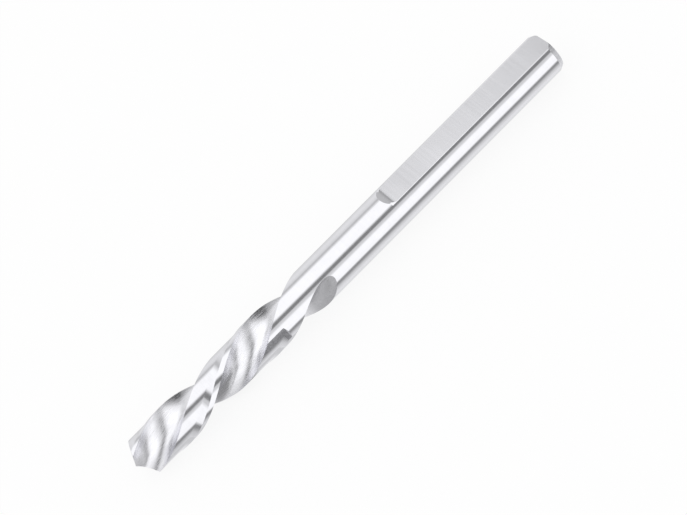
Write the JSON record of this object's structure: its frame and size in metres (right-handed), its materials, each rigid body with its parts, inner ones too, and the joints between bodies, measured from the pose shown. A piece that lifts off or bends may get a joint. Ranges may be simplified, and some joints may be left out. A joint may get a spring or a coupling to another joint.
{
  "type": "pilot drill",
  "caption": "Straight-shank twist drill for the centre of a hole saw, with left-hand flutes, narrow margins and a flat along its shank.",
  "frame": {"origin": "centre of the end face of the shank, on the drill's axis", "axes": "+X along the axis towards the point, +Z out of the flat on the shank"},
  "size_m": [0.0789, 0.0064, 0.0064],
  "materials": {
    "high_speed_steel": "polished shank and lands, satin flutes, cross-ground flat"
  },
  "bodies": {
    "root": {"centre_drill": "high_speed_steel"}
  },
  "joints": []
}
